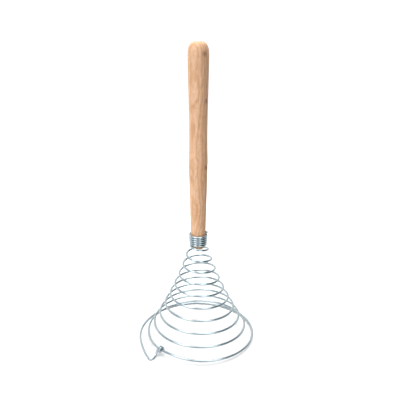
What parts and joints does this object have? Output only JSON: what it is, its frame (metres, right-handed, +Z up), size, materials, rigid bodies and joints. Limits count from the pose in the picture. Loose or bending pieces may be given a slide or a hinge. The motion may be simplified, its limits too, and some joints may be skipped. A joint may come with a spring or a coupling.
{
  "type": "coil whisk",
  "caption": "Spring coil whisk: a turned wooden handle with one wire wound on it in close turns, opening into a cone and ending in a flat base ring.",
  "frame": {"origin": "where the handle's axis meets the table that the base ring stands on", "axes": "+Z up along the handle's axis, towards the butt; the end tie is at the front left, -X and -Y"},
  "size_m": [0.1385, 0.134, 0.3385],
  "materials": {
    "beech": "satin, unvarnished turned beech with fine flecks",
    "wire": "bright drawn and plated spring wire"
  },
  "bodies": {
    "handle": {"handle": "beech", "grip_coil": "wire", "cone_turn_1": "wire", "cone_turn_2": "wire", "cone_turn_3": "wire", "cone_turn_4": "wire", "cone_turn_5": "wire", "cone_turn_6": "wire", "cone_turn_7": "wire", "cone_turn_8": "wire", "cone_turn_9": "wire"},
    "base_ring": {"base_ring": "wire", "end_loop": "wire", "end_tie": "wire"}
  },
  "joints": [
    {"name": "coil_compression", "type": "slide", "parent": "handle", "child": "base_ring", "axis": [0, 0, 1], "range_m": [-0.015, 0.1], "stiffness_N_per_m": 54, "springref_m": -0.022, "deforming": ["cone_turn_1", "cone_turn_2", "cone_turn_3", "cone_turn_4", "cone_turn_5", "cone_turn_6", "cone_turn_7", "cone_turn_8", "cone_turn_9"]}
  ]
}
